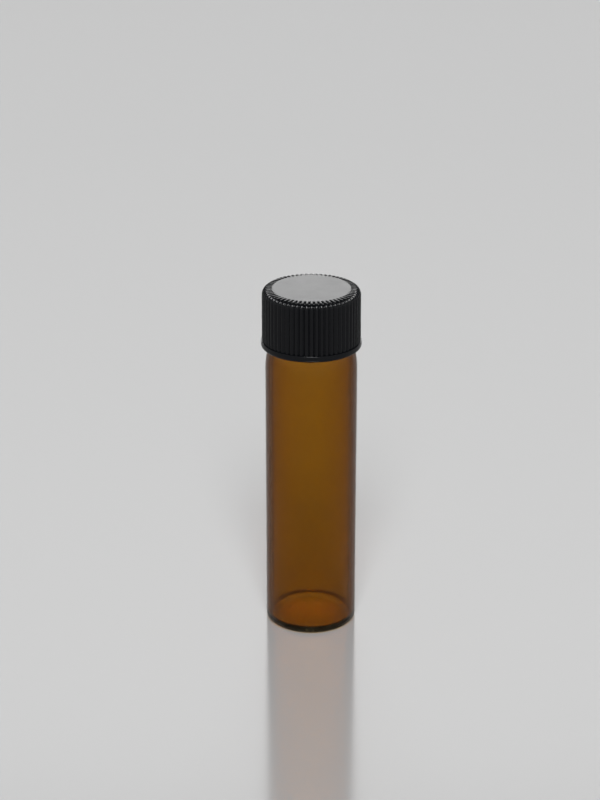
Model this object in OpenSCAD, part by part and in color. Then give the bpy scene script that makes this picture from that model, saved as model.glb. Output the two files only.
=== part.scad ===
// Screw-cap sample vial: a straight amber glass tube with a threaded neck, a black closed-top
// cap with ribs that run over its shoulder, and the soft liner that seals the cap on the rim.
// The vial stands on its foot at z = 0, with its axis on Z.

/* [Glass body] */
// Outside diameter of the glass body
body_d = 25; // [24:0.5:27]
// Height of the glass, from the foot to the rim
glass_h = 95; // [70:1:120]
// Thickness of the body wall
wall = 1.3; // [0.9:0.1:1.8]
// Thickness of the floor
floor_t = 1.6; // [1.2:0.1:2.5]
// Radius of the outside corner between wall and foot
heel_r = 1.4; // [0.8:0.1:2.2]
// Radius of the inside corner between wall and floor
floor_corner_r = 0.9; // [0.4:0.1:1.6]
// Width of the flat ring that the vial stands on
foot_ring_w = 2.4; // [1:0.1:4]
// Height of the hollow under the foot, at its middle
foot_hollow = 0.4; // [0.1:0.05:0.8]
// Radius of the long outward curve of the shoulder
shoulder_r = 23.5; // [10:0.5:30]

/* [Glass neck] */
// Diameter of the neck between the threads
neck_d = 21.8; // [20.6:0.1:22.4]
// Height of the straight neck, from its root to the rim
neck_h = 11.1; // [10:0.1:14]
// Thickness of the neck wall
neck_wall = 1.7; // [1.3:0.1:2.2]
// Radius of the hollow curve where the shoulder meets the neck
neck_root_r = 2; // [1:0.1:4]
// Radius of the rim's inside and outside edges
rim_r = 0.5; // [0.2:0.05:0.6]

/* [Thread] */
// Rise of the thread in one turn
thread_pitch = 3.175; // [2.9:0.025:3.5]
// Height of the glass thread over the neck
thread_h = 1; // [0.7:0.05:1.2]
// Width of the glass thread at the neck
thread_base_w = 2; // [1.6:0.05:2]
// Width of the glass thread at its crest
thread_crest_w = 0.9; // [0.6:0.05:1]
// Distance from the rim down to the middle of the thread's upper end
thread_drop = 2.6; // [2.4:0.1:3]
// Turns of thread on the glass
glass_turns = 1.5; // [1:0.25:1.75]
// How many turns longer the thread in the cap is than the one on the glass
cap_extra_turns = 0.5; // [0:0.25:0.5]
// Width of the cap's thread, as a share of the glass thread's
cap_thread_share = 0.8; // [0.6:0.05:0.9]
// Angle over which each thread rises from nothing to its full height
thread_runout = 40; // [20:5:60]
// Space between the crest of each thread and the wall that faces it
thread_clearance = 0.22; // [0.15:0.01:0.3]

/* [Cap] */
// Height of the cap, from its bottom edge to its top face
cap_h = 16.3; // [15.5:0.1:18]
// Thickness of the cap's top
cap_top_t = 1.5; // [1.1:0.1:2]
// Thickness of the skirt behind the grooves
skirt_wall = 0.78; // [0.7:0.02:1.2]
// How much wider the skirt's radius is at the band than at the shoulder
skirt_draft = 0.16; // [0:0.02:0.3]
// Radius of the rounded shoulder over the rib crests
cap_shoulder_r = 1.6; // [1:0.1:2.2]
// Height of the smooth band round the bottom edge
band_h = 1.8; // [1.2:0.1:2.5]
// How far the band stands out past the rib crests
band_proud = 0.14; // [0.05:0.01:0.4]
// Radius of the band's bottom edge
band_edge_r = 0.7; // [0.3:0.1:1]
// Height of the bead that holds the liner up inside the cap
liner_bead_h = 0.4; // [0.3:0.05:0.6]

/* [Ribs] */
// Number of ribs round the cap
rib_count = 60; // [40:1:72]
// Depth of the grooves between the ribs
rib_depth = 0.4; // [0.2:0.05:0.5]
// Length of the ribs on the flat top, before the shoulder
rib_top_run = 1.2; // [0.6:0.1:2]
// Share of the rib pitch that a rib takes at its foot
rib_foot_share = 0.62; // [0.5:0.02:0.8]
// Share of the rib pitch that a rib takes at its crest
rib_crest_share = 0.36; // [0.2:0.02:0.45]

/* [Liner] */
// Thickness of the liner
liner_t = 1.5; // [1:0.1:2]
// Space round the liner inside the cap
liner_clearance = 0.2; // [0.1:0.05:0.3]

/* [Hidden] */
$fn = 96;

// Steps in which round corners, long curves and thread turns are drawn
corner_steps = 8;
curve_steps = 14;
thread_step = 10;
// How far a thread's root is sunk into the wall that carries it
thread_root_sink = 0.3;
// Share of a thread's height that its bevelled crest takes
thread_bevel = 0.25;
// Share of a thread's height by which its two ends sink into the wall
thread_end_sink = 0.04;

// Glass
body_r = body_d / 2;
inner_r = body_r - wall;
neck_r = neck_d / 2;
mouth_r = neck_r - neck_wall;
neck_root_z = glass_h - neck_h;
// The shoulder is two tangent arcs, one outward and one hollow, that turn by the same angle
shoulder_turn = acos(1 - (body_r - neck_r) / (shoulder_r + neck_root_r));
shoulder_z = neck_root_z - (shoulder_r + neck_root_r) * sin(shoulder_turn);
inside_shoulder_r = shoulder_r - wall;
inside_root_r = neck_root_r + neck_wall;
inside_turn = acos(1 - (inner_r - mouth_r) / (inside_shoulder_r + inside_root_r));
mouth_z = shoulder_z + (inside_shoulder_r + inside_root_r) * sin(inside_turn);

// Thread: the cap's ridge runs midway between the turns of the glass ridge
glass_thread_z = glass_h - thread_drop - glass_turns * thread_pitch;
cap_thread_z = glass_thread_z - thread_pitch / 2;
cap_turns = glass_turns + cap_extra_turns;
thread_crest_r = neck_r + thread_h;
cap_bore_r = thread_crest_r + thread_clearance;
cap_thread_h = cap_bore_r - neck_r - thread_clearance;

// Cap and liner
liner_z = glass_h;
ceiling_z = liner_z + liner_t;
cap_top_z = ceiling_z + cap_top_t;
cap_z = cap_top_z - cap_h;
band_top_z = cap_z + band_h;
floor_r = cap_bore_r + skirt_wall;
crest_r = floor_r + rib_depth;
band_r = crest_r + skirt_draft + band_proud;
shoulder_centre = [crest_r - cap_shoulder_r, cap_top_z - cap_shoulder_r];
top_disc_r = shoulder_centre.x - rib_top_run;
rib_pitch = 360 / rib_count;
liner_r = cap_bore_r - liner_clearance;
liner_bead_z = liner_z - 0.1;
// Bevel on the band's top edge, and the wider lead-in at the mouth of the hollow
band_bevel = 0.15;
mouth_lead = 0.4;
// How far a cutting shape reaches past the face that it cuts
cut = 1;

// Points of an arc round the centre c, from angle a0 to angle a1
function arc(c, r, a0, a1, steps) =
    [for (i = [0:steps]) let (a = a0 + (a1 - a0) * i / steps) c + r * [cos(a), sin(a)]];

// Points of a shallow bowl, from the axis out to radius r, that is h higher in its middle than z
function bowl(r, h, z) =
    [for (i = [0:corner_steps]) let (x = i / corner_steps) [r * x, z + h * (1 - x * x)]];

function reverse(points) = [for (i = [len(points) - 1:-1:0]) points[i]];

// The outside of the glass, from the middle of the foot up to the rim
function glass_outside() = concat(
    bowl(body_r - heel_r - foot_ring_w, foot_hollow, 0),
    arc([body_r - heel_r, heel_r], heel_r, -90, 0, corner_steps),
    arc([body_r - shoulder_r, shoulder_z], shoulder_r, 0, shoulder_turn, curve_steps),
    arc([neck_r + neck_root_r, neck_root_z], neck_root_r, 180 + shoulder_turn, 180, corner_steps),
    arc([neck_r - rim_r, glass_h - rim_r], rim_r, 0, 90, corner_steps));

// The inside of the glass, from the middle of the floor up to the rim
function glass_inside() = concat(
    bowl(inner_r - floor_corner_r, foot_hollow, floor_t),
    arc([inner_r - floor_corner_r, floor_t + floor_corner_r], floor_corner_r, -90, 0, corner_steps),
    arc([inner_r - inside_shoulder_r, shoulder_z], inside_shoulder_r, 0, inside_turn, curve_steps),
    arc([mouth_r + inside_root_r, mouth_z], inside_root_r, 180 + inside_turn, 180, corner_steps),
    arc([mouth_r + rim_r, glass_h - rim_r], rim_r, 180, 90, corner_steps));

// The skirt and shoulder, from the band's top edge to the flat top. A depth of 0 follows the rib
// crests, and the ribs' own depth follows the floors of the grooves.
function cap_skin(depth) = concat(
    [[crest_r + skirt_draft - depth, band_top_z]],
    arc(shoulder_centre, cap_shoulder_r - depth, 0, 90, corner_steps));

// A ridge that winds up the Z axis: out is 1 on the outside of a wall and -1 on the inside.
// Its height grows from nothing and falls back to nothing at its ends.
module helical_ridge(wall_r, height, base_w, crest_w, start_z, turns, out) {
    steps = ceil(turns * 360 / thread_step);
    bevel_w = crest_w + (base_w - crest_w) * thread_bevel;
    sink_w = base_w + (base_w - crest_w) * thread_root_sink / height;
    function grown(a) = let (from_end = min(a, turns * 360 - a) / thread_runout)
        min(1, from_end * (1 + thread_end_sink) - thread_end_sink);
    function section(g) = [
        [-thread_root_sink, -sink_w / 2],
        [g * height * (1 - thread_bevel), -bevel_w / 2],
        [g * height, -crest_w / 2],
        [g * height, crest_w / 2],
        [g * height * (1 - thread_bevel), bevel_w / 2],
        [-thread_root_sink, sink_w / 2]];
    sides = 6;
    points = [for (i = [0:steps])
        let (a = turns * 360 * i / steps)
        for (p = section(grown(a)))
            let (r = wall_r + out * p.x)
            [r * cos(a), r * sin(a), start_z + thread_pitch * a / 360 + out * p.y]];
    skin = [for (i = [0:steps - 1], j = [0:sides - 1])
        let (a = i * sides + j, b = i * sides + (j + 1) % sides)
        each [[a, b, a + sides], [b, b + sides, a + sides]]];
    start_cap = [for (j = [1:sides - 2]) [0, j + 1, j]];
    end_cap = [for (j = [1:sides - 2]) [0, j, j + 1] + steps * sides * [1, 1, 1]];
    polyhedron(points, concat(skin, start_cap, end_cap));
}

// Wedges that cut the grooves between the ribs, narrower at the groove's floor than at the crests
module groove_wedges() {
    floor_half = rib_pitch * (1 - rib_foot_share) / 2;
    crest_half = rib_pitch * (1 - rib_crest_share) / 2;
    outer = band_r + cut;
    linear_extrude(cap_h)
        for (i = [0:rib_count - 1])
            rotate((i + 0.5) * rib_pitch)
                polygon([
                    [(top_disc_r - cut) * cos(floor_half), -(top_disc_r - cut) * sin(floor_half)],
                    [floor_r * cos(floor_half), -floor_r * sin(floor_half)],
                    [outer * cos(crest_half), -outer * sin(crest_half)],
                    [outer * cos(crest_half), outer * sin(crest_half)],
                    [floor_r * cos(floor_half), floor_r * sin(floor_half)],
                    [(top_disc_r - cut) * cos(floor_half), (top_disc_r - cut) * sin(floor_half)]]);
}

module glass_vial() {
    color([0.45, 0.22, 0.04, 0.85]) {
        rotate_extrude() polygon(concat(glass_outside(), reverse(glass_inside())));
        helical_ridge(neck_r, thread_h, thread_base_w, thread_crest_w,
                      glass_thread_z, glass_turns, 1);
    }
}

module screw_cap() {
    color([0.06, 0.07, 0.08]) {
        difference() {
            // Rib crests, smooth top and bottom band
            rotate_extrude() polygon(concat(
                [[0, cap_z]],
                arc([band_r - band_edge_r, cap_z + band_edge_r], band_edge_r, -90, 0, corner_steps),
                [[band_r, band_top_z - band_bevel]],
                cap_skin(0),
                [[0, cap_top_z]]));
            // Grooves, as deep as the ribs are high
            difference() {
                translate([0, 0, band_top_z]) groove_wedges();
                rotate_extrude() polygon(concat(
                    [[0, cap_z], [crest_r + skirt_draft - rib_depth, cap_z]],
                    cap_skin(rib_depth),
                    [[top_disc_r + rib_depth, cap_top_z - rib_depth],
                     [top_disc_r - cut, cap_top_z + cut], [0, cap_top_z + cut]]));
            }
            // The hollow, with the bead that holds the liner
            rotate_extrude() polygon([
                [0, cap_z - cut], [cap_bore_r + mouth_lead + cut, cap_z - cut],
                [cap_bore_r, cap_z + mouth_lead], [cap_bore_r, liner_bead_z - 2 * liner_bead_h],
                [cap_bore_r - liner_bead_h, liner_bead_z - liner_bead_h], [cap_bore_r, liner_bead_z],
                [cap_bore_r, ceiling_z], [0, ceiling_z]]);
        }
        helical_ridge(cap_bore_r, cap_thread_h,
                      thread_base_w * cap_thread_share, thread_crest_w * cap_thread_share,
                      cap_thread_z, cap_turns, -1);
    }
}

module cap_liner() {
    color([0.93, 0.93, 0.9])
        translate([0, 0, liner_z]) cylinder(r = liner_r, h = liner_t);
}

glass_vial();
screw_cap();
cap_liner();
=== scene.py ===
"""The looks of an amber glass sample vial: clear drawn glass, a ribbed black cap, a soft liner."""

import math

import bmesh
import bpy
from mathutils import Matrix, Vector


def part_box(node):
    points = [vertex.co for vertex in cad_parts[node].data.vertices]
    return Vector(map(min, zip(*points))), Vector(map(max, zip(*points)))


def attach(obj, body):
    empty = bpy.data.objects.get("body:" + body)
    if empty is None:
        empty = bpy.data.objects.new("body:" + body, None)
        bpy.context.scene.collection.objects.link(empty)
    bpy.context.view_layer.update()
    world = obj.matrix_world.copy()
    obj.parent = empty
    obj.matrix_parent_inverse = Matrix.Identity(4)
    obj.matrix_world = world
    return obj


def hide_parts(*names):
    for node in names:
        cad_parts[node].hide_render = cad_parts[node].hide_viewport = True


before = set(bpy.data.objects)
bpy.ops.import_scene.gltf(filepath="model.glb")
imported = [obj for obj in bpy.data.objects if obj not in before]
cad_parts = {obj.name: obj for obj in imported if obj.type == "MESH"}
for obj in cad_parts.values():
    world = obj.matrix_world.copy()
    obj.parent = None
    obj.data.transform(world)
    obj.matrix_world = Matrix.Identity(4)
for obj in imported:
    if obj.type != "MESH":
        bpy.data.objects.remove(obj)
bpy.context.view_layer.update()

MM = 0.001

# ---------------------------------------------------------------- sizes
# What the frame holds: the glass, the cap and the liner as they stand at rest.
_, glass_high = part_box("glass_vial")
cap_low, cap_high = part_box("screw_cap")
liner_low, liner_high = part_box("cap_liner")

# Glass
BODY_R = glass_high.x
GLASS_TOP = glass_high.z
WALL = 1.3 * MM
FLOOR_T = 1.6 * MM
HEEL_R = 1.4 * MM
FLOOR_CORNER_R = 0.9 * MM
FOOT_RING_W = 2.4 * MM
FOOT_HOLLOW = 0.4 * MM
FLOOR_RISE = 0.15 * MM
SHOULDER_R = 23.5 * MM
NECK_R = 10.9 * MM
NECK_H = 11.1 * MM
NECK_WALL = 1.7 * MM
NECK_ROOT_R = 2.0 * MM
RIM_R = 0.5 * MM

# Thread
PITCH = 3.175 * MM
THREAD_H = 1.0 * MM
THREAD_BASE_W = 2.0 * MM
THREAD_CREST_W = 0.9 * MM
THREAD_DROP = 2.6 * MM
THREAD_TOP_ROOM = 0.2 * MM
GLASS_TURNS = 1.5
CAP_TURNS = 2.0
CAP_THREAD_SHARE = 0.8
THREAD_RUNOUT = math.radians(40)
THREAD_CLEARANCE = 0.22 * MM
GLASS_THREAD_LOW = GLASS_TOP - THREAD_DROP - GLASS_TURNS * PITCH
CAP_THREAD_LOW = GLASS_THREAD_LOW - PITCH / 2

# Cap
CAP_BOTTOM = cap_low.z
CAP_TOP = cap_high.z
CAP_BORE_R = NECK_R + THREAD_H + THREAD_CLEARANCE
SKIRT_WALL = 0.78 * MM
GROOVE_FLOOR_R = CAP_BORE_R + SKIRT_WALL
RIB_DEPTH = 0.4 * MM
RIB_COUNT = 60
RIB_HALF = 0.55 * MM
RIB_RISE = 0.4 * MM
RIB_FLANK_SHARE = 0.9
CREST_R = GROOVE_FLOOR_R + RIB_DEPTH
SKIRT_DRAFT = 0.06 * MM
SHOULDER_ROUND = 1.6 * MM
RIB_TOP_RUN = 1.2 * MM
TOP_DISC_R = CREST_R - SHOULDER_ROUND - RIB_TOP_RUN
BAND_H = 1.8 * MM
BAND_TOP = CAP_BOTTOM + BAND_H
BAND_R = cap_high.x
BAND_EDGE_R = 0.7 * MM
BAND_ROUND = 0.11 * MM
MOUTH_LEAD = 0.4 * MM
LINER_BEAD_H = 0.4 * MM
LINER_BEAD_GAP = 0.1 * MM
LINER_BEAD_TOP = liner_low.z - LINER_BEAD_GAP

# A groove is at its full depth after one part in this many of its run on the flat top
GROOVE_DEEPENING = 2.5

# Liner
LINER_EDGE_R = 0.12 * MM

# How finely the pieces are turned: points on a turn, then rows along a section
GLASS_SEGMENTS = 256
INSIDE_SEGMENTS = 240
RIB_SAMPLES = 20
CAP_SEGMENTS = RIB_COUNT * RIB_SAMPLES
LINER_SEGMENTS = 128
FOOT_ROWS = 12
FOOT_RING_ROWS = 3
HEEL_ROWS = 14
WALL_ROWS = 12
SHOULDER_ROWS = 24
PLAIN_NECK_ROWS = 2
THREAD_ROWS = 84
RIM_ROWS = 8
MOUTH_ROWS = 6
RIB_TOP_ROWS = 8
RIB_SHOULDER_ROWS = 14
SKIRT_ROWS = 8
BAND_ROUND_ROWS = 6
BAND_EDGE_ROWS = 10
SMALL_EDGE_ROWS = 4

# Rings that the flat faces have inside their edge, as shares of the radius
TOP_DISC_RINGS = (0, 0.5, 0.97)
CEILING_RING = 0.5
LINER_RING = 0.6

# The widest angle between faces that still shades smoothly
SMOOTH_ANGLE = math.radians(35)

# Differences that count as none: in metres on the axis and on a wall, and in radians
ON_AXIS = 1e-9
ON_WALL = 1e-7
SAME_ANGLE = 1e-9


# ---------------------------------------------------------------- profiles
def arc(centre, radius, start, end, steps):
    """Points (r, z) of an arc, with its angles in degrees."""
    points = []
    for i in range(steps + 1):
        a = math.radians(start + (end - start) * i / steps)
        points.append((centre[0] + radius * math.cos(a), centre[1] + radius * math.sin(a)))
    return points


def line(start, end, steps):
    """Points of a straight stretch, without its first one."""
    return [(start[0] + (end[0] - start[0]) * i / steps, start[1] + (end[1] - start[1]) * i / steps)
            for i in range(1, steps + 1)]


def bowl(radius, rise, z, steps):
    """A shallow dome from the axis out to radius, higher in its middle by rise."""
    return [(radius * i / steps, z + rise * (1 - (i / steps) ** 2)) for i in range(steps + 1)]


def shoulder_turn(body_r, neck_r, out_r, in_r):
    """The angle that each of a shoulder's two arcs turns through, in radians."""
    return math.acos(1 - (body_r - neck_r) / (out_r + in_r))


def s_curve(body_r, neck_r, out_r, in_r, low, steps):
    """The shoulder: an outward arc from the wall, then a hollow arc into the neck."""
    turn = math.degrees(shoulder_turn(body_r, neck_r, out_r, in_r))
    top = low + (out_r + in_r) * math.sin(math.radians(turn))
    return (arc((body_r - out_r, low), out_r, 0, turn, steps)
            + arc((neck_r + in_r, top), in_r, 180 + turn, 180, steps // 2)[1:])


def glass_outside(shoulder_low):
    """The glass from the middle of its foot up to the top of its rim."""
    ring_r = BODY_R - HEEL_R
    rim_low = GLASS_TOP - RIM_R
    thread_low = (NECK_R, GLASS_THREAD_LOW - THREAD_BASE_W)
    thread_high = (NECK_R, GLASS_TOP - THREAD_DROP + THREAD_BASE_W / 2 + THREAD_TOP_ROOM)
    points = bowl(ring_r - FOOT_RING_W, FOOT_HOLLOW, 0, FOOT_ROWS)
    points += line(points[-1], (ring_r, 0), FOOT_RING_ROWS)
    points += arc((ring_r, HEEL_R), HEEL_R, -90, 0, HEEL_ROWS)[1:]
    points += line((BODY_R, HEEL_R), (BODY_R, shoulder_low), WALL_ROWS)
    points += s_curve(BODY_R, NECK_R, SHOULDER_R, NECK_ROOT_R, shoulder_low, SHOULDER_ROWS)[1:]
    points += line((NECK_R, GLASS_TOP - NECK_H), thread_low, PLAIN_NECK_ROWS)
    points += line(thread_low, thread_high, THREAD_ROWS)
    points += line(thread_high, (NECK_R, rim_low), 1)
    points += arc((NECK_R - RIM_R, rim_low), RIM_R, 0, 90, RIM_ROWS)[1:]
    return points


def glass_inside(shoulder_low):
    """The glass from the middle of its floor up to the top of its rim."""
    inner_r = BODY_R - WALL
    mouth_r = NECK_R - NECK_WALL
    floor_r = inner_r - FLOOR_CORNER_R
    corner_top = FLOOR_T + FLOOR_CORNER_R
    rim_low = GLASS_TOP - RIM_R
    points = bowl(floor_r, FLOOR_RISE, FLOOR_T, FOOT_ROWS)
    points += arc((floor_r, corner_top), FLOOR_CORNER_R, -90, 0, FOOT_ROWS)[1:]
    points += line((inner_r, corner_top), (inner_r, shoulder_low), WALL_ROWS)
    points += s_curve(inner_r, mouth_r, SHOULDER_R - WALL, NECK_ROOT_R + NECK_WALL,
                      shoulder_low, SHOULDER_ROWS)[1:]
    points += line(points[-1], (mouth_r, rim_low), MOUTH_ROWS)
    points += arc((mouth_r + RIM_R, rim_low), RIM_R, 180, 90, RIM_ROWS)[1:]
    return points


def glass_profile():
    """The whole section of the glass, from the middle of its foot over the rim to its floor."""
    turn = shoulder_turn(BODY_R, NECK_R, SHOULDER_R, NECK_ROOT_R)
    shoulder_low = GLASS_TOP - NECK_H - (SHOULDER_R + NECK_ROOT_R) * math.sin(turn)
    return glass_outside(shoulder_low) + glass_inside(shoulder_low)[::-1]


def ridge(angle, z, low, turns, base_w, crest_w):
    """Height of a helical ridge, from 0 to 1, at an angle and a height on its wall."""
    height = 0.0
    for lap in range(math.ceil(turns) + 1):
        wound = angle + 2 * math.pi * lap
        if wound > turns * 2 * math.pi + SAME_ANGLE:
            break
        off = abs(z - low - PITCH * wound / (2 * math.pi))
        flank = (base_w / 2 - off) / ((base_w - crest_w) / 2)
        end = min(wound, turns * 2 * math.pi - wound) / THREAD_RUNOUT
        rise = max(0.0, min(1.0, flank))
        fade = max(0.0, min(1.0, end))
        height = max(height, rise * rise * (3 - 2 * rise) * fade * fade * (3 - 2 * fade))
    return height


# ---------------------------------------------------------------- meshes
def ring_points(r, z, segments, shape=None):
    """One turn of points; shape moves the radius by angle and height."""
    points = []
    for k in range(segments):
        a = 2 * math.pi * k / segments
        rr = r + (shape(a, z) if shape else 0.0)
        points.append((rr * math.cos(a), rr * math.sin(a), z))
    return points


class Turned:
    """A mesh that is built ring by ring around the Z axis."""

    def __init__(self, name):
        self.name = name
        self.bm = bmesh.new()
        self.last = None

    def ring(self, points):
        """Adds a ring and joins it to the last one with faces."""
        new = [self.bm.verts.new(p) for p in points]
        if self.last:
            self.join(self.last, new)
        self.last = new

    def turn(self, r, z, segments, shape=None):
        """Adds a round ring, or a single point where it lies on the axis."""
        self.ring([(0, 0, z)] if r < ON_AXIS else ring_points(r, z, segments, shape))

    def join(self, low, high):
        """Joins two rings: equal ones by quads, and a fine one to a coarse one by fans."""
        n, m = len(low), len(high)
        face = self.bm.faces.new
        if n == 1:
            for k in range(m):
                face((low[0], high[(k + 1) % m], high[k]))
        elif m == 1:
            for k in range(n):
                face((low[k], low[(k + 1) % n], high[0]))
        elif n == m:
            for k in range(n):
                face((low[k], low[(k + 1) % n], high[(k + 1) % n], high[k]))
        else:
            share = n // m
            for k in range(m):
                for j in range(share):
                    face((low[k * share + j], low[(k * share + j + 1) % n], high[k]))
                face((low[((k + 1) * share) % n], high[(k + 1) % m], high[k]))

    def finish(self, material):
        """Makes the object, with smooth shading that breaks at sharp edges."""
        mesh = bpy.data.meshes.new(self.name)
        bmesh.ops.recalc_face_normals(self.bm, faces=self.bm.faces)
        self.bm.to_mesh(mesh)
        self.bm.free()
        mesh.shade_smooth()
        mesh.set_sharp_from_angle(angle=SMOOTH_ANGLE)
        mesh.materials.append(material)
        obj = bpy.data.objects.new(self.name, mesh)
        bpy.context.scene.collection.objects.link(obj)
        return obj


def make_glass(material):
    """The glass: one closed wall, over the rim and back down inside, with its neck's thread."""
    zone_low = GLASS_THREAD_LOW - THREAD_BASE_W
    zone_high = GLASS_TOP - THREAD_DROP + THREAD_BASE_W

    def thread(angle, z):
        return THREAD_H * ridge(angle, z, GLASS_THREAD_LOW, GLASS_TURNS,
                                THREAD_BASE_W, THREAD_CREST_W)

    body = Turned("amber_glass")
    for r, z in glass_profile():
        on_neck = abs(r - NECK_R) < ON_WALL and zone_low <= z <= zone_high
        body.turn(r, z, GLASS_SEGMENTS, thread if on_neck else None)
    return body.finish(material)


def rib_section(angle):
    """How far the cap's skin lies under the rib crests at an angle: oval ribs, tight grooves."""
    half_pitch = math.pi * CREST_R / RIB_COUNT
    off = abs((angle / (2 * math.pi) * RIB_COUNT + 0.5) % 1.0 - 0.5) * 2 * half_pitch
    flank = min(off, RIB_FLANK_SHARE * RIB_HALF)
    root = math.sqrt(1 - (flank / RIB_HALF) ** 2)
    drop = RIB_RISE * (1 - root)
    steepness = RIB_RISE * flank / (RIB_HALF ** 2 * root)
    run = off - flank
    return drop + steepness * (run - run ** 2 / (2 * (half_pitch - flank)))


def cap_skin():
    """Rows of the ribbed skin from the top disc to the band.

    Each row has its radius, its height, the two parts of its normal, and how deep its grooves are.
    """
    rows = []
    centre = (CREST_R - SHOULDER_ROUND, CAP_TOP - SHOULDER_ROUND)
    for i in range(RIB_TOP_ROWS + 1):
        run = i / RIB_TOP_ROWS
        rows.append((TOP_DISC_R + RIB_TOP_RUN * run, CAP_TOP, 0, 1, min(1, run * GROOVE_DEEPENING)))
    for i in range(1, RIB_SHOULDER_ROWS + 1):
        a = math.radians(90 - 90 * i / RIB_SHOULDER_ROWS)
        rows.append((centre[0] + SHOULDER_ROUND * math.cos(a),
                     centre[1] + SHOULDER_ROUND * math.sin(a), math.cos(a), math.sin(a), 1))
    for i in range(1, SKIRT_ROWS + 1):
        down = i / SKIRT_ROWS
        rows.append((CREST_R + SKIRT_DRAFT * down, centre[1] + (BAND_TOP - centre[1]) * down,
                     1, 0, 1))
    return rows


def add_cap_outside(cap):
    """The smooth top disc, the ribbed shoulder and skirt, and the band at the bottom edge."""
    for share in TOP_DISC_RINGS:
        cap.turn(TOP_DISC_R * share, CAP_TOP, CAP_SEGMENTS)
    angles = [2 * math.pi * k / CAP_SEGMENTS for k in range(CAP_SEGMENTS)]
    ribs = [(a, rib_section(a)) for a in angles]
    for r, z, normal_r, normal_z, depth in cap_skin():
        points = []
        for a, section in ribs:
            sunk = depth * section
            rr = r - normal_r * sunk
            points.append((rr * math.cos(a), rr * math.sin(a), z - normal_z * sunk))
        cap.ring(points)
    band = [(CREST_R + SKIRT_DRAFT, BAND_TOP)]
    band += arc((BAND_R - BAND_ROUND, BAND_TOP - BAND_ROUND), BAND_ROUND, 90, 0, BAND_ROUND_ROWS)
    band += arc((BAND_R - BAND_EDGE_R, CAP_BOTTOM + BAND_EDGE_R), BAND_EDGE_R, 0, -90,
                BAND_EDGE_ROWS)
    for r, z in band:
        cap.turn(r, z, CAP_SEGMENTS)


def add_cap_inside(cap):
    """The hollow of the cap: its mouth, thread, liner bead and ceiling."""

    def thread(angle, z):
        return -THREAD_H * ridge(angle, z, CAP_THREAD_LOW, CAP_TURNS,
                                 THREAD_BASE_W * CAP_THREAD_SHARE,
                                 THREAD_CREST_W * CAP_THREAD_SHARE)

    bore_low = (CAP_BORE_R, CAP_BOTTOM + MOUTH_LEAD)
    thread_low = (CAP_BORE_R, CAP_THREAD_LOW - THREAD_BASE_W / 2)
    thread_high = (CAP_BORE_R, LINER_BEAD_TOP - 2 * LINER_BEAD_H)
    ceiling = liner_high.z
    mouth = [(CAP_BORE_R + MOUTH_LEAD, CAP_BOTTOM), bore_low]
    mouth += line(bore_low, thread_low, PLAIN_NECK_ROWS)
    for r, z in mouth:
        cap.turn(r, z, INSIDE_SEGMENTS)
    for r, z in line(thread_low, thread_high, THREAD_ROWS):
        cap.turn(r, z, INSIDE_SEGMENTS, thread)
    top = arc((CAP_BORE_R, LINER_BEAD_TOP - LINER_BEAD_H), LINER_BEAD_H, 240, 120, SMALL_EDGE_ROWS)
    top += [(CAP_BORE_R, LINER_BEAD_TOP), (CAP_BORE_R, ceiling)]
    top += [(CAP_BORE_R * CEILING_RING, ceiling), (0, ceiling)]
    for r, z in top:
        cap.turn(r, z, INSIDE_SEGMENTS)


def make_cap(material):
    """The cap: one moulded piece, ribbed outside and threaded inside."""
    cap = Turned("ribbed_cap")
    add_cap_outside(cap)
    add_cap_inside(cap)
    return cap.finish(material)


def make_liner(material):
    """The liner: a die-cut disc with slightly soft edges."""
    r = liner_high.x
    edge = LINER_EDGE_R
    low, high = liner_low.z, liner_high.z
    profile = [(0, low), (r * LINER_RING, low)]
    profile += arc((r - edge, low + edge), edge, -90, 0, SMALL_EDGE_ROWS)
    profile += arc((r - edge, high - edge), edge, 0, 90, SMALL_EDGE_ROWS)
    profile += [(r * LINER_RING, high), (0, high)]
    disc = Turned("liner_disc")
    for r, z in profile:
        disc.turn(r, z, LINER_SEGMENTS)
    return disc.finish(material)


# ---------------------------------------------------------------- finishes
# Glass: the amber that light takes on in its depth, and how fast it does so per metre; the warm
# tone of what the glass mirrors straight on; the lines that drawing the tube leaves in it
AMBER = (0.803, 0.643, 0.0, 1)
AMBER_DENSITY = 2320.0
GLASS_MIRROR_TONE = (1.0, 0.8, 0.42, 1)
DRAW_LINES_PER_M = 700.0
DRAW_LINE_STRETCH = (1, 1, 0.03)
DRAW_LINE_RELIEF = 0.004 * MM

# Cap: two near blacks, how much duller its top face is, and the heights where that comes in
CAP_BLACK = (0.0008, 0.001, 0.0016, 1)
CAP_BLACK_PALER = (0.002, 0.0024, 0.0034, 1)
CAP_TOP_DULLNESS = 0.185
CAP_TOP_FADE = (CAP_TOP - 0.3 * MM, CAP_TOP - 0.05 * MM)
CAP_GRAIN_RELIEF = 0.006 * MM

# Liner
FOAM_SHADE = (0.78, 0.77, 0.73, 1)
FOAM_WHITE = (0.9, 0.9, 0.87, 1)
FOAM_GRAIN_RELIEF = 0.03 * MM

# Uneven gloss: the span of its noise that goes from smooth to dull
DRIFT_LOW = 0.35
DRIFT_HIGH = 0.7

# Fine grain: how much finer its second layer is, and what each of the two adds
GRAIN_RATIO = 3.1
COARSE_SHARE = 0.7
FINE_SHARE = 0.3


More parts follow.
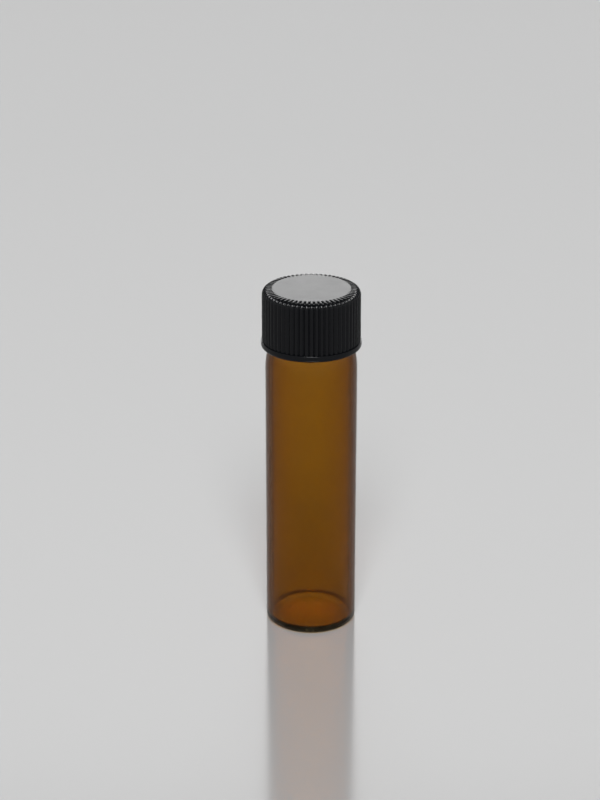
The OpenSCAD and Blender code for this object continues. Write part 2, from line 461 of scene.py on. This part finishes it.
class Nodes:
    """Adds nodes to a tree and links them."""

    def __init__(self, tree):
        self.tree = tree

    def add(self, kind, **settings):
        node = self.tree.nodes.new(kind)
        for name, value in settings.items():
            setattr(node, name, value)
        return node

    def set(self, socket, value):
        """Links a socket to another node's output, or gives it a plain value."""
        if isinstance(value, bpy.types.NodeSocket):
            self.tree.links.new(value, socket)
        else:
            socket.default_value = value

    def noise(self, vector, scale, detail, roughness=0.5):
        node = self.add("ShaderNodeTexNoise")
        self.set(node.inputs["Vector"], vector)
        self.set(node.inputs["Scale"], scale)
        self.set(node.inputs["Detail"], detail)
        self.set(node.inputs["Roughness"], roughness)
        return node.outputs["Fac"]

    def math(self, operation, first, second, clamp=False):
        node = self.add("ShaderNodeMath", operation=operation, use_clamp=clamp)
        self.set(node.inputs[0], first)
        self.set(node.inputs[1], second)
        return node.outputs[0]

    def span(self, value, low, high, new_low=0.0, new_high=1.0):
        """Maps one span of numbers on another, and stops at its ends."""
        node = self.add("ShaderNodeMapRange")
        for socket, number in zip(node.inputs, (value, low, high, new_low, new_high)):
            self.set(socket, number)
        return node.outputs["Result"]

    def blend(self, share, first, second):
        """Mixes two colours. A Mix node's colour sockets come after its numbers and vectors."""
        node = self.add("ShaderNodeMix", data_type="RGBA")
        self.set(node.inputs[0], share)
        self.set(node.inputs[6], first)
        self.set(node.inputs[7], second)
        return node.outputs[2]

    def mix_shaders(self, share, first, second):
        node = self.add("ShaderNodeMixShader")
        for socket, value in zip(node.inputs, (share, first, second)):
            self.set(socket, value)
        return node.outputs["Shader"]

    def place(self):
        """The point on the piece, in metres."""
        return self.add("ShaderNodeTexCoord").outputs["Object"]

    def height_of(self, vector):
        node = self.add("ShaderNodeSeparateXYZ")
        self.set(node.inputs["Vector"], vector)
        return node.outputs["Z"]

    def stretched(self, vector, scale):
        node = self.add("ShaderNodeMapping")
        self.set(node.inputs["Vector"], vector)
        self.set(node.inputs["Scale"], scale)
        return node.outputs["Vector"]

    def group(self, shared, **inputs):
        """Places a shared group with its own values, and returns its output."""
        node = self.add("ShaderNodeGroup", node_tree=shared)
        for name, value in inputs.items():
            self.set(node.inputs[name.replace("_", " ")], value)
        return node.outputs[0]

    def bump(self, height, distance):
        node = self.add("ShaderNodeBump")
        self.set(node.inputs["Height"], height)
        self.set(node.inputs["Distance"], distance)
        return node.outputs["Normal"]


def shared_group(name, inputs, output):
    """A node group that makes one number from a place and some numbers.

    Returns it, its node helper, the sockets of its inputs, and the socket for its result.
    """
    tree = bpy.data.node_groups.new(name, "ShaderNodeTree")
    tree.interface.new_socket("Place", in_out="INPUT", socket_type="NodeSocketVector")
    for label, default in inputs:
        socket = tree.interface.new_socket(label, in_out="INPUT", socket_type="NodeSocketFloat")
        socket.default_value = default
    tree.interface.new_socket(output, in_out="OUTPUT", socket_type="NodeSocketFloat")
    nodes = Nodes(tree)
    given = nodes.add("NodeGroupInput").outputs
    result = nodes.add("NodeGroupOutput").inputs[output]
    return tree, nodes, given, result


def make_uneven_gloss():
    """Gloss that drifts over a surface, with a few finger-sized duller patches."""
    tree, nodes, given, result = shared_group(
        "uneven_gloss", [("Patch Size", 0.006), ("Smooth", 0.2), ("Dull", 0.3)], "Roughness")
    scale = nodes.math("DIVIDE", 1.0, given["Patch Size"])
    drift = nodes.noise(given["Place"], scale, detail=3.0, roughness=0.55)
    nodes.set(result, nodes.span(drift, DRIFT_LOW, DRIFT_HIGH, given["Smooth"], given["Dull"]))
    return tree


def make_fine_grain():
    """A fine grain, from 0 to 1, for moulded and foamed faces."""
    tree, nodes, given, result = shared_group("fine_grain", [("Grain Size", 0.0002)], "Height")
    scale = nodes.math("DIVIDE", 1.0, given["Grain Size"])
    finer = nodes.math("MULTIPLY", scale, GRAIN_RATIO)
    coarse = nodes.noise(given["Place"], scale, detail=2.0, roughness=0.6)
    fine = nodes.noise(given["Place"], finer, detail=1.0)
    nodes.set(result, nodes.math("ADD", nodes.math("MULTIPLY", coarse, COARSE_SHARE),
                                 nodes.math("MULTIPLY", fine, FINE_SHARE)))
    return tree


uneven_gloss = make_uneven_gloss()
fine_grain = make_fine_grain()


def new_material(name, **plain):
    """A material with a Principled BSDF and its plain values.

    Returns the material, its node helper, the shader and the output node.
    """
    material = bpy.data.materials.new(name)
    material.use_nodes = True
    material.node_tree.nodes.clear()
    nodes = Nodes(material.node_tree)
    shader = nodes.add("ShaderNodeBsdfPrincipled")
    out = nodes.add("ShaderNodeOutputMaterial")
    nodes.set(out.inputs["Surface"], shader.outputs["BSDF"])
    for label, value in plain.items():
        shader.inputs[label.replace("_", " ")].default_value = value
    return material, nodes, shader, out


def amber_glass():
    """Clear amber tube glass, coloured by its depth, with faint draw lines up its wall."""
    material, nodes, shader, out = new_material(
        "amber_glass", Base_Color=(1, 1, 1, 1), Transmission_Weight=1.0, IOR=1.47,
        Specular_Tint=GLASS_MIRROR_TONE)
    place = nodes.place()
    nodes.set(shader.inputs["Roughness"],
              nodes.group(uneven_gloss, Place=place, Patch_Size=9 * MM, Smooth=0.0, Dull=0.02))
    drawn = nodes.stretched(place, DRAW_LINE_STRETCH)
    draw_lines = nodes.noise(drawn, DRAW_LINES_PER_M, detail=1.0)
    nodes.set(shader.inputs["Normal"], nodes.bump(draw_lines, DRAW_LINE_RELIEF))
    depth = nodes.add("ShaderNodeVolumeAbsorption")
    depth.inputs["Color"].default_value = AMBER
    depth.inputs["Density"].default_value = AMBER_DENSITY
    nodes.set(out.inputs["Volume"], depth.outputs["Volume"])
    # The lamps' light passes straight through the faces, so only the glass's depth colours it.
    clear = nodes.add("ShaderNodeBsdfTransparent")
    shadow = nodes.add("ShaderNodeLightPath").outputs["Is Shadow Ray"]
    nodes.set(out.inputs["Surface"],
              nodes.mix_shaders(shadow, shader.outputs["BSDF"], clear.outputs["BSDF"]))
    return material


def black_plastic():
    """Moulded black plastic with a fine grain: satin ribs and a duller top face."""
    material, nodes, shader, _ = new_material("black_plastic", IOR=1.5, Specular_IOR_Level=0.28)
    place = nodes.place()
    on_top = nodes.span(nodes.height_of(place), *CAP_TOP_FADE)
    gloss = nodes.group(uneven_gloss, Place=place, Patch_Size=4 * MM, Smooth=0.2, Dull=0.23)
    nodes.set(shader.inputs["Roughness"],
              nodes.math("ADD", gloss, nodes.math("MULTIPLY", on_top, CAP_TOP_DULLNESS)))
    grain = nodes.group(fine_grain, Place=place, Grain_Size=0.22 * MM)
    nodes.set(shader.inputs["Base Color"], nodes.blend(grain, CAP_BLACK, CAP_BLACK_PALER))
    nodes.set(shader.inputs["Normal"], nodes.bump(grain, CAP_GRAIN_RELIEF))
    return material


def liner_foam():
    """Pressed white foam with a fine closed grain."""
    material, nodes, shader, _ = new_material("liner_foam", IOR=1.45)
    place = nodes.place()
    grain = nodes.group(fine_grain, Place=place, Grain_Size=0.3 * MM)
    nodes.set(shader.inputs["Base Color"], nodes.blend(grain, FOAM_SHADE, FOAM_WHITE))
    nodes.set(shader.inputs["Roughness"],
              nodes.group(uneven_gloss, Place=place, Patch_Size=4 * MM, Smooth=0.5, Dull=0.65))
    nodes.set(shader.inputs["Normal"], nodes.bump(grain, FOAM_GRAIN_RELIEF))
    return material


# ---------------------------------------------------------------- the object
glass = make_glass(amber_glass())
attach(glass, "vial")
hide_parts("glass_vial")

cap = make_cap(black_plastic())
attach(cap, "cap")
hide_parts("screw_cap")

liner = make_liner(liner_foam())
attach(liner, "liner")
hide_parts("cap_liner")


# ---------------------------------------------------------------- camera, stage and light
# Camera: lens and sensor in millimetres, place in metres, how far it is tipped up from looking
# straight down, and the nearest distance that it sees, in metres
LENS = 98.8
SENSOR_WIDTH = 36
CAMERA_PLACE = (-0.00306, -0.5535, 0.2949)
CAMERA_TILT = math.radians(67.5)
NEAREST_SEEN = 0.01

# Floor: half its side, its grey and roughness, its satin face, and the distances from the vial
# between which it melts into the horizon
FLOOR_HALF = 12.0
FLOOR_GREY = 0.3
FLOOR_ROUGHNESS = 0.6
SATIN_SHARE = 0.085
SATIN_ROUGHNESS = 0.13
FLOOR_NEAR = 0.5
FLOOR_FAR = 2.2

# The world's greys at rising heights of the look, where 1 is straight up
HORIZON = 0.6
WORLD_GREYS = [(0.0, HORIZON), (0.19, HORIZON), (0.26, 0.25), (0.6, 0.12)]

# Watts that a square metre of lamp takes for a radiance of 1
LAMP_POWER = 4


def grey(level):
    return (level, level, level, 1)


def add_camera():
    """A long lens that looks down on the vial."""
    data = bpy.data.cameras.new("camera")
    data.lens = LENS
    data.sensor_width = SENSOR_WIDTH
    data.clip_start = NEAREST_SEEN
    camera = bpy.data.objects.new("camera", data)
    camera.location = CAMERA_PLACE
    camera.rotation_euler = (CAMERA_TILT, 0, 0)
    bpy.context.scene.collection.objects.link(camera)
    bpy.context.scene.camera = camera


def pale_floor():
    """A pale satin floor, which melts into the horizon where it's far from the vial."""
    material, nodes, shader, out = new_material(
        "pale_floor", Base_Color=grey(FLOOR_GREY), Roughness=FLOOR_ROUGHNESS,
        Specular_IOR_Level=0.0)
    polish = nodes.add("ShaderNodeBsdfGlossy")
    polish.inputs["Roughness"].default_value = SATIN_ROUGHNESS
    satin = nodes.mix_shaders(SATIN_SHARE, shader.outputs["BSDF"], polish.outputs["BSDF"])
    away = nodes.add("ShaderNodeVectorMath", operation="LENGTH")
    nodes.set(away.inputs[0], nodes.place())
    ray = nodes.add("ShaderNodeLightPath").outputs
    looked_at = nodes.math("ADD", nodes.math("ADD", ray["Is Camera Ray"], ray["Is Glossy Ray"]),
                           ray["Is Transmission Ray"], clamp=True)
    haze = nodes.add("ShaderNodeEmission")
    haze.inputs["Color"].default_value = grey(HORIZON)
    far = nodes.span(away.outputs["Value"], FLOOR_NEAR, FLOOR_FAR)
    nodes.set(out.inputs["Surface"], nodes.mix_shaders(
        nodes.math("MULTIPLY", looked_at, far), satin, haze.outputs["Emission"]))
    return material


def add_floor():
    """The wide floor that the vial stands on."""
    mesh = bpy.data.meshes.new("floor")
    corners = [(x * FLOOR_HALF, y * FLOOR_HALF, 0) for x, y in ((-1, -1), (1, -1), (1, 1), (-1, 1))]
    mesh.from_pydata(corners, [], [(0, 1, 2, 3)])
    mesh.materials.append(pale_floor())
    floor = bpy.data.objects.new("floor", mesh)
    bpy.context.scene.collection.objects.link(floor)


def add_softbox(name, azimuth, elevation, distance, spread, rise, radiance):
    """A softbox that faces the vial. Azimuth 0 is the camera's side; spread and rise are the
    angles it fills sideways and upwards; radiance is its brightness, where 1 shows as white."""
    data = bpy.data.lights.new(name, "AREA")
    data.shape = "RECTANGLE"
    data.size = 2 * distance * math.tan(math.radians(spread / 2))
    data.size_y = 2 * distance * math.tan(math.radians(rise / 2))
    data.energy = LAMP_POWER * radiance * data.size * data.size_y
    lamp = bpy.data.objects.new(name, data)
    a, e = math.radians(azimuth), math.radians(elevation)
    way = Vector((math.sin(a) * math.cos(e), -math.cos(a) * math.cos(e), math.sin(e)))
    lamp.location = Vector((0, 0, GLASS_TOP)) + way * distance
    lamp.rotation_euler = way.to_track_quat("Z", "Y").to_euler()
    bpy.context.scene.collection.objects.link(lamp)


def add_world():
    """A pale horizon under a dim ceiling."""
    world = bpy.data.worlds.new("world")
    bpy.context.scene.world = world
    world.use_nodes = True
    nodes = Nodes(world.node_tree)
    look = nodes.add("ShaderNodeTexCoord").outputs["Generated"]
    ramp = nodes.add("ShaderNodeValToRGB")
    nodes.set(ramp.inputs["Fac"], nodes.height_of(look))
    while len(ramp.color_ramp.elements) < len(WORLD_GREYS):
        ramp.color_ramp.elements.new(0.5)
    for element, (height, level) in zip(ramp.color_ramp.elements, WORLD_GREYS):
        element.position = height
        element.color = grey(level)
    nodes.set(world.node_tree.nodes["Background"].inputs["Color"], ramp.outputs["Color"])


add_camera()
add_floor()
add_world()
add_softbox("key", azimuth=0, elevation=47, distance=3.0, spread=20, rise=25, radiance=21.2)
add_softbox("back", azimuth=180, elevation=20, distance=3.2, spread=28, rise=29, radiance=3.4)

bpy.context.scene.view_settings.view_transform = "Standard"
